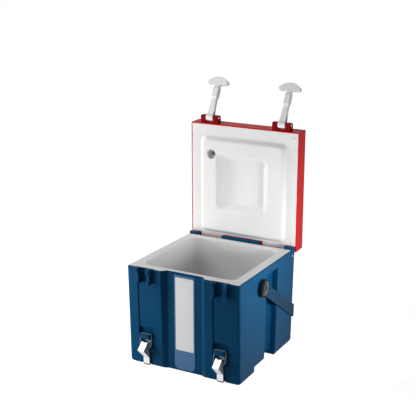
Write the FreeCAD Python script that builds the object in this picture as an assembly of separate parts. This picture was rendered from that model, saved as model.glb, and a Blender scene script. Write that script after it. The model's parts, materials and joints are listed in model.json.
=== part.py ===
import FreeCAD, Part
import math
import os

os.makedirs("parts", exist_ok=True)
V = FreeCAD.Vector

# All sizes in mm. X to the right seen from the front, Y to the back, Z up.
# The tub stands on z = 0; the lid is drawn shut and turned open at the end.

# Tub outside
TUB_HALF = 165.0
RIM_Z = 279.0
FRONT_FOOT = -155.0
FRONT_RIM = -173.0
RIM_BACK = 173.0
TUB_BACK = RIM_BACK + 19.0
LEDGE_Z = RIM_Z - 21.0
SHELL_WALL = 3.4
CORNER_R = 6.0
LIP_BEVEL = 2.8
CLEAR_OF_FACE = 40.0
TINY = 0.01

# Front bay with its strip and window
BAY_FACE_HALF = 63.7
BAY_FLOOR_HALF = 51.0
BAY_FOOT = FRONT_FOOT + 8.0
BAY_RIM = FRONT_RIM + 14.0
STRIP_HALF = 30.5
STRIP_Z0 = 4.0
STRIP_Z1 = RIM_Z - 7.0
STRIP_FOOT_R = 15.0
STRIP_TOP_R = 2.0
STRIP_PROUD = 1.0
STRIP_SUNK = 2.0
WINDOW_HALF = STRIP_HALF - 3.8
WINDOW_Z0 = 60.0
WINDOW_Z1 = STRIP_Z1 - 6.0
WINDOW_R = 4.0
WINDOW_T = 1.5

# Latch stations, left and right of the bay
LATCH_INSET = 54.0
LATCH_X = TUB_HALF - LATCH_INSET
CHANNEL_HALF = 23.5
CHANNEL_D = 2.5
POCKET_D = 9.0
POCKET_Z0 = 50.0
POCKET_Z1 = 108.0
FINGER_HALF = 13.0
FINGER_D = 5.0

# Keeper lugs under the rim
KEEPER_IN = 11.7
KEEPER_OUT = KEEPER_IN + 9.0
KEEPER_FRONT = FRONT_RIM - 18.0
KEEPER_WAIST = KEEPER_FRONT + 8.0
KEEPER_WAIST_Z = RIM_Z - 22.0
KEEPER_H = 42.0
KEEPER_Z0 = RIM_Z - KEEPER_H
KEEPER_RISE = 2.0
KEEPER_SHOULDER_Z = RIM_Z - 6.0
KEEPER_Z1 = RIM_Z + 2.5
NUB_IN = 8.2
NUB_H = 2.5
NUB_TAPER = 5.0

# Sides: shallow recess, hand groove and base arch
RECESS_Y0 = -65.0
RECESS_D = 2.5
RECESS_TOP = RIM_Z - 19.0
GROOVE_Y0 = 5.0
GROOVE_Y1 = 72.0
GROOVE_D = 18.0
GROOVE_TOP = RIM_Z - 22.0
ARCH_D = 30.0
ARCH_TOP = 15.0
GROOVE_R = 3.0

# Basin
BASIN_HALF = TUB_HALF - 30.0
BASIN_FRONT = FRONT_RIM + 33.0
BASIN_BACK = RIM_BACK - 23.0
BASIN_R = 24.0
BASIN_FLOOR = 45.0
BASIN_KNEE = 14.0
BASIN_DRAFT = 6.0
LINER_WALL = 3.0
FLANGE_T = 4.0

# Hinge
HINGE_Y = RIM_BACK + 3.5
HINGE_Z = RIM_Z - 18.25
ROD_R = 3.0
ROD_HALF = TUB_HALF + 0.2
RUN_FIT = 0.05
KNUCKLE_R = 25.5
KNUCKLE_TOP = RIM_Z + 7.0
KNUCKLE_MID = 59.0
KNUCKLE_END1 = TUB_HALF - 1.5
KNUCKLE_END0 = KNUCKLE_END1 - 25.0
ARM_X0 = KNUCKLE_MID + 0.8
ARM_X1 = KNUCKLE_END0 - 1.3
ARM_R = 6.5
ARM_FRONT = RIM_BACK + 0.5
ARM_BACK = ARM_FRONT + 7.5
ARM_LEDGE_Z = LEDGE_Z - 7.0
ARM_GAP = 0.6
HINGE_BLOCK_Y = RIM_BACK - 9.0
HINGE_BLOCK_Z0 = LEDGE_Z - 23.0
HINGE_BLOCK_Z1 = LEDGE_Z + 14.0

# Lid, drawn shut
LID_OPEN = 87.6
LID_HALF = TUB_HALF + 1.75
LID_FRONT = FRONT_RIM - 0.4
LID_BACK = RIM_BACK
LID_Z = RIM_Z + 0.4
LID_H = 51.6
LID_TOP = LID_Z + LID_H
ARM_TOP = LID_Z + 20.6
LID_WALL = 3.0
LID_R = 6.0
NOTCH_R = KNUCKLE_R + 0.7
PANEL_T = 4.0
PLUG_H = 12.0
PLUG_MARGIN = 2.0
PLUG_SLOPE = 11.0
PLUG_R = BASIN_R + PLUG_MARGIN
DISH_D = 20.0
DISH_HALF = 80.0
DISH_FRONT = -90.0
DISH_BACK = 75.0
DISH_SLOPE = 19.5
DISH_R = 12.0
PORT_INSET = (38.0, 53.0)
PORT_X = -BASIN_HALF + PORT_INSET[0]
PORT_Y = BASIN_FRONT + PORT_INSET[1]
PORT_R = 14.0
PORT_D = 15.0
PORT_WALL = 3.0
PORT_FLOOR_T = 4.0
BUTTON_R = 7.0
BUTTON_T = 2.5
BUTTON_PROUD = 0.8

# Lid brackets and rubber T-latches
BRACKET_HALF = 27.3
BRACKET_GAP_HALF = 11.3
BRACKET_Z0 = LID_Z + 2.6
BRACKET_Z1 = BRACKET_Z0 + 21.0
BRACKET_FRONT = LID_FRONT - 22.1
BRACKET_PLATE = 3.0
BRACKET_BEVEL = 4.0
PIN_Y = LID_FRONT - 16.0
PIN_Z = BRACKET_Z0 + 8.2
PIN_R = 3.0
LATCH_OPEN = 119.4
HEEL_R = 9.5
STEM_HALF_TOP = 11.0
WAIST_DROP = 54.0
WAIST_HALF = 7.5
COLLAR_DROP = WAIST_DROP + 6.0
COLLAR_L = 26.0
COLLAR_HALF = 8.75
NECK_L = 8.0
NECK_HALF = 7.0
BAR_GAP = 4.0
BAR_H = 23.7
BAR_END_H = 12.0
BAR_HALF = 33.0
BAR_FLARE = 12.0
BAR_END_IN = 4.0
STEM_T = 12.0
COLLAR_T = 18.0

# Bail handle, drawn as it hangs
PIVOT_Y = -31.0
PIVOT_DEPTH = 48.0
PIVOT_Z = RIM_Z - PIVOT_DEPTH
HANDLE_DROP = 31.7
HANDLE_IN = TUB_HALF + 0.4
HANDLE_T = 4.0
HANDLE_W = 32.0
HANDLE_EYE_R = 24.0
HANDLE_BAR_Y0 = TUB_BACK + 0.4
HANDLE_BAR_Y1 = HANDLE_BAR_Y0 + 5.6
HANDLE_CORNER_R = 8.0
HANDLE_PIN_R = 6.0
HANDLE_PIN_X = TUB_HALF - 11.0
HANDLE_BOSS_HALF = 16.0
HANDLE_BOSS_IN_HALF = 10.0
HANDLE_BOSS_GAP = 0.3
WASHER_R = 24.0
WASHER_X = HANDLE_IN + HANDLE_T + 0.2
WASHER_T = 3.4
CAP_R = 20.5
CAP_H = 2.2

# Draw latches
LEVER_Y = FRONT_FOOT - 15.0
LEVER_Z = 66.0
LEVER_HALF = 9.0
LEVER_SHEET = 1.6
LEVER_EYE_R = 5.5
LEVER_PIN_R = 2.0
KNEE = (FRONT_FOOT - 37.8, 52.7)
INSTEP = (FRONT_FOOT - 8.0, 24.5)
TIP = (FRONT_FOOT - 6.5, 4.5)
TIP_BACK = (FRONT_FOOT - 3.5, 4.5)
SHIN_BACK = (FRONT_FOOT - 2.5, 19.0)
PAD_FOOT_Z = 1.5
PAD_TOP_Z = 14.0
PAD_BACK = FRONT_FOOT + 2.5
PAD_BEVEL = 3.0
BASE_HALF = 7.0
BASE_T = 2.0
BASE_KNUCKLE_R = 3.4
BASE_ARM_HALF = 3.6
BASE_Z0 = LEVER_Z - 12.0
BASE_Z1 = LEVER_Z + 5.5
EYE_GAP = 0.3
KNUCKLE_ROOM = 0.8
LOOP_Y = LEVER_Y + 1.7
LOOP_Z = LEVER_Z - 8.4
WIRE_R = 1.75
LOOP_HALF = 16.75
LOOP_TOP_Y = LOOP_Y + 4.8
LOOP_TOP_Z = LOOP_Z + 33.9
HOOK_HALF = 14.0
HOOK_Z0 = 77.0
HOOK_ROOT_Z0 = 72.0
HOOK_NOSE_Y = FRONT_FOOT - 23.0
HOOK_NOSE_Z = 94.4
HOOK_CHIN_Y = FRONT_FOOT - 13.5
HOOK_LIP_Y = FRONT_FOOT - 11.0
HOOK_LIP_Z = 93.0
HOOK_SEAT_Z = 88.8


# Helpers

def box(x0, x1, y0, y1, z0, z1):
    return Part.makeBox(x1 - x0, y1 - y0, z1 - z0, V(x0, y0, z0))


def side_prism(points, x0, x1):
    """Outline drawn in Y and Z, carried from x0 to x1."""
    ring = [V(x0, y, z) for y, z in points + points[:1]]
    return Part.Face(Part.makePolygon(ring)).extrude(V(x1 - x0, 0, 0))


def side_face(edges, x0, x1):
    """Closed run of edges at x0, carried to x1."""
    return Part.Face(Part.Wire(edges)).extrude(V(x1 - x0, 0, 0))


def cross_rod(y, z, r, x0, x1):
    return Part.makeCylinder(r, x1 - x0, V(x0, y, z), V(1, 0, 0))


def upright(x, y, r, z0, z1):
    return Part.makeCylinder(r, z1 - z0, V(x, y, z0))


def line(a, b):
    return Part.makeLine(a, b)


def arc(a, b, c):
    return Part.Arc(a, b, c).toShape()


def rounded_wire(u0, u1, v0, v1, radii, place):
    """Rectangle with rounded corners, radii counted from (u0, v0) past (u1, v0)."""
    corners = [(u0, v0, 1, 1), (u1, v0, -1, 1), (u1, v1, -1, -1), (u0, v1, 1, -1)]
    ease = 1 - math.sqrt(0.5)
    runs = []
    for i, ((u, v, su, sv), r) in enumerate(zip(corners, radii)):
        ends = [place(u, v + sv * r), place(u + su * r, v)]
        middle = place(u + su * r * ease, v + sv * r * ease)
        first, last = ends if i % 2 == 0 else ends[::-1]
        runs.append((first, middle, last))
    edges = []
    for i, (first, middle, last) in enumerate(runs):
        edges.append(arc(first, middle, last))
        edges.append(line(last, runs[(i + 1) % 4][0]))
    return Part.Wire(edges)


def tapered(low, z0, high, z1, r=0.0):
    """Block with leaning sides between two rectangles (half width, front, back).

    Its side view and its front view are brought together, then its uprights are rounded.
    """
    half = max(low[0], high[0])
    front = min(low[1], high[1])
    back = max(low[2], high[2])
    side = side_prism([(low[1], z0), (low[2], z0), (high[2], z1), (high[1], z1)], -half, half)
    ring = [V(x, front, z) for x, z in ((-low[0], z0), (low[0], z0), (high[0], z1),
                                        (-high[0], z1), (-low[0], z0))]
    block = side.common(Part.Face(Part.makePolygon(ring)).extrude(V(0, back - front, 0)))
    if not r:
        return block
    return block.makeFillet(r, [e for e in block.Edges if spans(e, z0, z1)])


def spans(edge, z0, z1):
    return edge.BoundBox.ZLength > z1 - z0 - TINY


def grown(size, by):
    """Rectangle (half width, front, back) with every side moved out."""
    return (size[0] + by, size[1] - by, size[2] + by)


def front_outline(half, z0, z1, foot_r, top_r):
    """Rounded panel outline seen from the front, deep enough to cut any front part."""
    wire = rounded_wire(-half, half, z0, z1, [foot_r, foot_r, top_r, top_r],
                        lambda x, z: V(x, -CLEAR_OF_FACE * 6, z))
    return Part.Face(wire).extrude(V(0, CLEAR_OF_FACE * 6, 0))


def square_post(x, y, half, z0, z1):
    return box(x - half, x + half, y - half, y + half, z0, z1)


def both_sides(shape):
    return [shape, shape.mirror(V(0, 0, 0), V(1, 0, 0))]


def both_stations(shape):
    """Copies of a shape drawn at x = 0, at the left and the right latch station."""
    return [shape.translated(V(s * LATCH_X, 0, 0)) for s in (-1, 1)]


def fused(shapes):
    return shapes[0].multiFuse(shapes[1:]).removeSplitter()


def front_y(z):
    """Front face of the pads; it leans out towards the rim."""
    return FRONT_FOOT + (FRONT_RIM - FRONT_FOOT) * z / RIM_Z


def bay_y(z):
    """Floor of the front bay."""
    return BAY_FOOT + (BAY_RIM - BAY_FOOT) * z / RIM_Z


def leaning_slab(face, out, deep, z0, z1, half):
    """Slab that follows a leaning face, from out in front of it to deep behind it."""
    points = [(face(z0) - out, z0), (face(z0) + deep, z0),
              (face(z1) + deep, z1), (face(z1) - out, z1)]
    return side_prism(points, -half, half)


# Tub forms

def tub_block(inset, top):
    """Tub without its recesses, taken in by inset everywhere but at the top."""
    back = TUB_BACK - inset
    rim_back = RIM_BACK - inset
    ledge = LEDGE_Z - inset
    points = [(front_y(inset) + inset, inset), (back, inset), (back, ledge),
              (rim_back, ledge), (rim_back, top), (front_y(top) + inset, top)]
    return side_prism(points, -TUB_HALF + inset, TUB_HALF - inset)


def bay_section(z, grow):
    """Bay outline at one height, every wall moved out by grow."""
    lean = (BAY_FACE_HALF - BAY_FLOOR_HALF) / (bay_y(z) - front_y(z))
    shift = grow * math.sqrt(1 + lean * lean)
    mouth = BAY_FACE_HALF + shift
    floor = BAY_FLOOR_HALF + shift - lean * grow
    fore = front_y(z) - CLEAR_OF_FACE
    half = [(mouth, fore), (mouth, front_y(z)), (floor, bay_y(z) + grow)]
    ring = half + [(-x, y) for x, y in half[::-1]]
    return Part.makePolygon([V(x, y, z) for x, y in ring + ring[:1]])


def bay(grow):
    sections = [bay_section(-grow - 1, grow), bay_section(RIM_Z + grow + 1, grow)]
    return Part.makeLoft(sections, True, True)


def strip_seat(grow):
    """Seat of the strip in the bay floor."""
    slab = leaning_slab(bay_y, STRIP_PROUD, STRIP_SUNK + grow, 0, RIM_Z, STRIP_HALF + grow)
    return slab.common(front_outline(STRIP_HALF + grow, STRIP_Z0 - grow, STRIP_Z1 + grow,
                                     STRIP_FOOT_R + grow, STRIP_TOP_R + grow))


def station_recesses(grow):
    """Channel, lower pocket and finger recess of one latch station, at x = 0."""
    out = CLEAR_OF_FACE
    channel = leaning_slab(front_y, out, CHANNEL_D + grow, POCKET_Z1 - 1, RIM_Z + grow + 1,
                           CHANNEL_HALF + grow)
    pocket = leaning_slab(front_y, out, POCKET_D + grow, POCKET_Z0 - grow, POCKET_Z1 + grow,
                          CHANNEL_HALF + grow)
    finger = leaning_slab(front_y, out, FINGER_D + grow, -1 - grow, POCKET_Z0 + 1,
                          FINGER_HALF + grow)
    return [channel, pocket, finger]


def side_recesses(grow):
    """Shallow recess, hand groove and base arch of the right side."""
    face = TUB_HALF + CLEAR_OF_FACE
    recess = box(TUB_HALF - RECESS_D - grow, face, RECESS_Y0 - grow, GROOVE_Y0 + grow,
                 -1, RECESS_TOP + grow)
    groove = box(TUB_HALF - GROOVE_D - grow, face, GROOVE_Y0 - grow, GROOVE_Y1 + grow,
                 -1, GROOVE_TOP + grow)
    tall = [e for e in groove.Edges if e.BoundBox.ZLength > ARCH_TOP
            and e.BoundBox.XMax < TUB_HALF]
    groove = groove.makeFillet(GROOVE_R + grow, tall)
    arch = box(TUB_HALF - ARCH_D - grow, face, RECESS_Y0 - grow, GROOVE_Y1 + grow,
               -1, ARCH_TOP + grow)
    return [recess, groove, arch]


def arm_recess():
    """Room for the right lid arm and its barrel behind the rim."""
    x0 = ARM_X0 - ARM_GAP
    x1 = ARM_X1 + ARM_GAP
    ledge = box(x0, x1, RIM_BACK, TUB_BACK + 1, ARM_LEDGE_Z, LEDGE_Z + 1)
    return [ledge, cross_rod(HINGE_Y, HINGE_Z, ARM_R + ARM_GAP, x0, x1)]


def knuckle_spans():
    return [(-KNUCKLE_END1, -KNUCKLE_END0), (-KNUCKLE_MID, KNUCKLE_MID),
            (KNUCKLE_END0, KNUCKLE_END1)]


def knuckle(x0, x1):
    """Hinge knuckle on the ledge, rounded so that the lid can turn over it."""
    lump = box(x0, x1, RIM_BACK - LINER_WALL, TUB_BACK, LEDGE_Z - 1, KNUCKLE_TOP)
    lump = lump.common(cross_rod(HINGE_Y, HINGE_Z, KNUCKLE_R, x0, x1))
    step = box(x0, x1, RIM_BACK - LINER_WALL, RIM_BACK, RIM_Z - LIP_BEVEL, KNUCKLE_TOP)
    return lump.cut(step)


def keeper_lug():
    """One keeper lug to the right of x = 0, its front edge hollow, with a snap nub."""
    x0 = KEEPER_IN
    z0 = KEEPER_Z0 + KEEPER_RISE
    edge = LID_FRONT - ARM_GAP
    points = [(keeper_root(z0), z0), (keeper_root(RIM_Z), RIM_Z), (edge, RIM_Z),
              (edge, KEEPER_Z1), (KEEPER_FRONT, KEEPER_Z1), (KEEPER_FRONT, KEEPER_SHOULDER_Z),
              (KEEPER_WAIST, KEEPER_WAIST_Z), (KEEPER_FRONT, KEEPER_Z0)]
    at = [V(x0, y, z) for y, z in points]
    edges = [line(a, b) for a, b in zip(at[:5], at[1:6])]
    edges += [arc(at[5], at[6], at[7]), line(at[7], at[0])]
    lug = side_face(edges, x0, KEEPER_OUT)
    z1 = z0 + NUB_H
    z2 = z1 + NUB_TAPER
    ring = [(x0 + 1, z0), (NUB_IN, z0), (NUB_IN, z1), (x0, z2), (x0 + 1, z2)]
    nub_back = keeper_root(z0)
    nub_front = KEEPER_WAIST + KEEPER_RISE
    wire = Part.makePolygon([V(x, nub_front, z) for x, z in ring + ring[:1]])
    return lug.fuse(Part.Face(wire).extrude(V(0, nub_back - nub_front, 0)))


def keeper_root(z):
    """Middle of the wall behind the channel, where a keeper lug is rooted."""
    return front_y(z) + CHANNEL_D + SHELL_WALL / 2


def loop_hook():
    """Hook of the lower pocket that the wire loop draws on, at x = 0."""
    deep = front_y(HOOK_SEAT_Z) + POCKET_D + SHELL_WALL / 2
    points = [(deep, HOOK_ROOT_Z0), (HOOK_CHIN_Y, HOOK_Z0), (HOOK_NOSE_Y, HOOK_NOSE_Z),
              (HOOK_LIP_Y, HOOK_LIP_Z), (HOOK_LIP_Y, HOOK_SEAT_Z), (deep, HOOK_SEAT_Z)]
    return side_prism(points, -HOOK_HALF, HOOK_HALF)


def pivot_disc(r, x0, x1):
    return cross_rod(PIVOT_Y, PIVOT_Z, r, x0, x1)


def pin_block(half, x0, x1):
    """Square block round the handle pivot."""
    return box(x0, x1, PIVOT_Y - half, PIVOT_Y + half, PIVOT_Z - half, PIVOT_Z + half)


def tub_outside():
    form = tub_block(0, RIM_Z)
    form = form.makeFillet(CORNER_R, [e for e in form.Edges if spans(e, 0, LEDGE_Z)])
    z0 = RIM_Z - LIP_BEVEL
    rim = (TUB_HALF, front_y(z0), RIM_BACK)
    lip = tapered(rim, z0, grown(rim, -LIP_BEVEL), RIM_Z)
    form = form.common(box(-TUB_HALF, TUB_HALF, FRONT_RIM, TUB_BACK, 0, z0).fuse(lip))
    return form.cut([bay(0)] + both_stations(station_recesses(0)[0]))


def tub_inside():
    """Space inside the outer skin, open at the top."""
    grow = SHELL_WALL
    form = tub_block(grow, RIM_Z + 1)
    cutters = [bay(grow), strip_seat(grow)]
    for recess in station_recesses(grow):
        cutters += both_stations(recess)
    for recess in side_recesses(grow):
        cutters += both_sides(recess)
    cutters.append(box(-TUB_HALF, TUB_HALF, HINGE_BLOCK_Y, TUB_BACK,
                       HINGE_BLOCK_Z0, HINGE_BLOCK_Z1))
    cutters += both_sides(pin_block(HANDLE_BOSS_IN_HALF, HANDLE_PIN_X - SHELL_WALL, TUB_HALF))
    return form.cut(cutters)


def basin(grow):
    """Basin form; grow 0 is the space with a bevelled floor edge, LINER_WALL its outside."""
    top = (BASIN_HALF, BASIN_FRONT, BASIN_BACK)
    z0 = BASIN_FLOOR - grow
    form = tapered(grown(top, grow - BASIN_DRAFT), z0, grown(top, grow), RIM_Z, BASIN_R + grow)
    if grow:
        return form
    knee_z = z0 + BASIN_KNEE
    knee = tapered(grown(top, -BASIN_DRAFT - BASIN_KNEE), z0, grown(top, -BASIN_DRAFT), knee_z)
    above = box(-BASIN_HALF, BASIN_HALF, BASIN_FRONT, BASIN_BACK, knee_z, RIM_Z)
    return form.common(fused([above, knee]))


# Tub pieces

def outer_shell():
    shell = tub_outside()
    cutters = [tub_inside(), strip_seat(0)]
    for recess in station_recesses(0)[1:]:
        cutters += both_stations(recess)
    for recess in side_recesses(0):
        cutters += both_sides(recess)
    shell = shell.cut(cutters)
    lug = keeper_lug()
    adds = [loop_hook(), lug, lug.mirror(V(0, 0, 0), V(1, 0, 0))]
    adds = [copy for shape in adds for copy in both_stations(shape)]
    adds += [knuckle(x0, x1) for x0, x1 in knuckle_spans()]
    boss_x = HANDLE_IN - HANDLE_BOSS_GAP
    adds += both_sides(pin_block(HANDLE_BOSS_HALF, TUB_HALF - RECESS_D - 1, boss_x))
    shell = shell.fuse(adds)
    bores = [cross_rod(HINGE_Y, HINGE_Z, ROD_R, -ROD_HALF, ROD_HALF)]
    for shape in arm_recess():
        bores += both_sides(shape)
    bores += both_sides(pivot_disc(HANDLE_PIN_R, HANDLE_PIN_X, TUB_HALF + 1))
    return shell.cut(bores).removeSplitter()


def inner_liner():
    flange = tub_inside().common(box(-TUB_HALF, TUB_HALF, KEEPER_FRONT, TUB_BACK,
                                     RIM_Z - FLANGE_T, RIM_Z))
    return flange.fuse(basin(LINER_WALL)).cut(basin(0)).removeSplitter()


def foam_core():
    below = box(-TUB_HALF, TUB_HALF, KEEPER_FRONT, TUB_BACK, 0, RIM_Z - FLANGE_T)
    return tub_inside().common(below).cut(basin(LINER_WALL))


def window_form():
    slab = leaning_slab(bay_y, STRIP_PROUD, WINDOW_T - STRIP_PROUD, 0, RIM_Z, WINDOW_HALF)
    return slab.common(front_outline(WINDOW_HALF, WINDOW_Z0, WINDOW_Z1, WINDOW_R, WINDOW_R))


def front_strip():
    return strip_seat(0).cut(window_form())


def sight_window():
    return window_form()


def hinge_rod():
    return cross_rod(HINGE_Y, HINGE_Z, ROD_R, -ROD_HALF, ROD_HALF)


def handle_pin():
    return pivot_disc(HANDLE_PIN_R, HANDLE_PIN_X, WASHER_X)


def pivot_washer():
    return pivot_disc(WASHER_R, WASHER_X, WASHER_X + WASHER_T)


def pivot_cap():
    """Shallow dome: the cap of a sphere with the given foot radius and height."""
    foot = WASHER_X + WASHER_T
    sphere_r = (CAP_R * CAP_R + CAP_H * CAP_H) / (2 * CAP_H)
    ball = Part.makeSphere(sphere_r, V(foot + CAP_H - sphere_r, PIVOT_Y, PIVOT_Z))
    return ball.common(pivot_disc(CAP_R + 1, foot, foot + CAP_H + 1))


# Lid pieces, drawn shut

def knuckle_gaps():
    """Runs across the lid that turn over the knuckles."""
    return [(-LID_HALF + LID_WALL, -KNUCKLE_END0 + ARM_GAP),
            (-KNUCKLE_MID - ARM_GAP, KNUCKLE_MID + ARM_GAP),
            (KNUCKLE_END0 - ARM_GAP, LID_HALF - LID_WALL)]


def lid_inside():
    """Space inside the lid skin, open downwards."""
    form = box(-LID_HALF + LID_WALL, LID_HALF - LID_WALL, LID_FRONT + LID_WALL,
               LID_BACK - LID_WALL, LID_Z, LID_TOP - LID_WALL)
    reach = NOTCH_R + LID_WALL
    fore = HINGE_Y - math.sqrt(reach ** 2 - (LID_Z - HINGE_Z) ** 2)
    cutters = [box(x0 - LID_WALL, x1 + LID_WALL, fore, LID_BACK, LID_Z, HINGE_Z + reach)
               for x0, x1 in knuckle_gaps()]
    return form.cut(cutters)


def lid_shell():
    form = box(-LID_HALF, LID_HALF, LID_FRONT, LID_BACK, LID_Z, LID_TOP)
    form = form.makeFillet(LID_R, [e for e in form.Edges if e.BoundBox.ZMin > LID_TOP - TINY])
    form = form.cut(lid_inside())
    arm = box(ARM_X0, ARM_X1, ARM_FRONT, ARM_BACK, HINGE_Z, ARM_TOP)
    root = box(ARM_X0, ARM_X1, LID_BACK - 1, ARM_FRONT + 1, LID_Z, ARM_TOP)
    barrel = cross_rod(HINGE_Y, HINGE_Z, ARM_R, ARM_X0, ARM_X1)
    arm = fused([arm, root, barrel])
    top = [e for e in arm.Edges if e.BoundBox.ZMin > ARM_TOP - TINY
           and e.BoundBox.YMin > ARM_BACK - TINY]
    arm = arm.makeFillet(ARM_BACK - ARM_FRONT - 1, top)
    form = form.fuse(both_sides(arm))
    cutters = [cross_rod(HINGE_Y, HINGE_Z, NOTCH_R, x0, x1) for x0, x1 in knuckle_gaps()]
    cutters += both_sides(cross_rod(HINGE_Y, HINGE_Z, ROD_R + RUN_FIT, ARM_X0 - 1, ARM_X1 + 1))
    return form.cut(cutters).removeSplitter()


def plug_sizes(inset=0.0):
    """Raised plug under the lid that drops into the basin: face and base."""
    base = grown((BASIN_HALF, BASIN_FRONT, BASIN_BACK), -PLUG_MARGIN - inset)
    return grown(base, -PLUG_SLOPE + PLUG_MARGIN), base


def dish(grow, r):
    """Dish in the plug's face; grow moves its walls and floor out."""
    z0 = LID_Z - PLUG_H
    mouth = grown((DISH_HALF, DISH_FRONT, DISH_BACK), grow)
    return tapered(mouth, z0, grown(mouth, -DISH_SLOPE), z0 + DISH_D + grow, r)


def plug_hollow():
    """Foam side of the plug."""
    face, base = plug_sizes(PANEL_T)
    z0 = LID_Z - PLUG_H + PANEL_T
    return tapered(face, z0, base, LID_Z + PANEL_T, PLUG_R - PANEL_T)


def port_block():
    z0 = LID_Z - PLUG_H
    return square_post(PORT_X, PORT_Y, PORT_R + PORT_WALL, z0, z0 + PORT_D + PORT_FLOOR_T)


def lid_liner():
    face_z = LID_Z - PLUG_H
    panel = lid_inside().common(box(-LID_HALF, LID_HALF, LID_FRONT, LID_BACK,
                                    LID_Z, LID_Z + PANEL_T))
    face, base = plug_sizes()
    plateau = tapered(face, face_z, base, LID_Z, PLUG_R)
    liner = panel.fuse(plateau).cut(plug_hollow()).fuse([dish(PANEL_T, 0), port_block()])
    port = upright(PORT_X, PORT_Y, PORT_R, face_z, face_z + PORT_D)
    return liner.cut([dish(0, DISH_R), port, port_button()]).removeSplitter()


def lid_foam():
    """Fills the skin above the panel and the hollow of the plug."""
    top_z = LID_Z + PANEL_T
    above = lid_inside().common(box(-LID_HALF, LID_HALF, LID_FRONT, LID_BACK, top_z, LID_TOP))
    return above.fuse(plug_hollow()).cut([dish(PANEL_T, 0), port_block()]).removeSplitter()


def port_button():
    """Button let into the floor of the port."""
    z0 = LID_Z - PLUG_H + PORT_D - BUTTON_PROUD
    return upright(PORT_X, PORT_Y, BUTTON_R, z0, z0 + BUTTON_T)


# Brackets and T-latches, drawn shut at x = 0

def latch_bracket():
    """Two lugs on a plate, screwed to the front of the lid."""
    bevel = BRACKET_BEVEL
    points = [(LID_FRONT, BRACKET_Z0), (LID_FRONT, BRACKET_Z1),
              (BRACKET_FRONT + bevel, BRACKET_Z1), (BRACKET_FRONT, BRACKET_Z1 - bevel),
              (BRACKET_FRONT, BRACKET_Z0 + bevel / 2), (BRACKET_FRONT + bevel / 2, BRACKET_Z0)]
    block = side_prism(points, -BRACKET_HALF, BRACKET_HALF)
    gap = box(-BRACKET_GAP_HALF, BRACKET_GAP_HALF, BRACKET_FRONT - 1,
              LID_FRONT - BRACKET_PLATE, BRACKET_Z0 - 1, BRACKET_Z1 + 1)
    bore = cross_rod(PIN_Y, PIN_Z, PIN_R, -BRACKET_HALF, BRACKET_HALF)
    return block.cut([gap, bore])


def latch_pin():
    return cross_rod(PIN_Y, PIN_Z, PIN_R, -BRACKET_HALF, BRACKET_HALF)


def latch_stations():
    """Distances below the pin: collar end, neck, start, shoulder and tip of the grip bar."""
    collar_end = COLLAR_DROP + COLLAR_L
    neck = collar_end + NECK_L
    bar_start = neck + BAR_GAP
    return collar_end, neck, bar_start, bar_start + BAR_END_H, bar_start + BAR_H


def latch_front():
    """Front view of the T-latch, hanging from its pin; u runs down from the pin."""
    def at(x, u):
        return V(x, PIN_Y - COLLAR_T, PIN_Z - u)
    collar_end, neck, bar_start, bar_end, bar_tip = latch_stations()
    right = [(STEM_HALF_TOP, -HEEL_R), (STEM_HALF_TOP, 0), (WAIST_HALF, WAIST_DROP),
             (COLLAR_HALF, COLLAR_DROP), (COLLAR_HALF, collar_end), (NECK_HALF, neck),
             (BAR_FLARE, bar_start)]
    end_x = BAR_HALF - BAR_END_IN
    end_arc = [(end_x, bar_start), (BAR_HALF, (bar_start + bar_end) / 2), (end_x, bar_end)]
    edges = [line(at(*a), at(*b)) for a, b in zip(right, right[1:] + end_arc[:1])]
    edges.append(arc(*[at(*p) for p in end_arc]))
    edges.append(arc(at(end_x, bar_end), at(0, bar_tip), at(-end_x, bar_end)))
    edges.append(arc(*[at(-x, u) for x, u in end_arc[::-1]]))
    left = [(-x, u) for x, u in (right + end_arc[:1])[::-1]]
    edges += [line(at(*a), at(*b)) for a, b in zip(left, left[1:])]
    edges.append(line(at(*left[-1]), at(*right[0])))
    return Part.Face(Part.Wire(edges)).extrude(V(0, 2 * COLLAR_T, 0))


def latch_side():
    """Side view of the T-latch: even stem, thicker collar, round heel on the pin."""
    thin = STEM_T / 2
    thick = COLLAR_T / 2
    collar_end, neck, _, _, bar_tip = latch_stations()
    steps = [(0, thin), (WAIST_DROP, thin), (COLLAR_DROP, thick), (collar_end, thick),
             (neck, thin), (bar_tip, thin)]
    points = [(PIN_Y - t, PIN_Z - u) for u, t in steps]
    points += [(PIN_Y + t, PIN_Z - u) for u, t in steps[::-1]]
    stem = side_prism(points, -BAR_HALF, BAR_HALF)
    return stem.fuse(cross_rod(PIN_Y, PIN_Z, HEEL_R, -BAR_HALF, BAR_HALF))


def t_latch():
    latch = latch_front().common(latch_side())
    return latch.cut(cross_rod(PIN_Y, PIN_Z, PIN_R + RUN_FIT, -BAR_HALF, BAR_HALF))


# Bail handle

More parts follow.
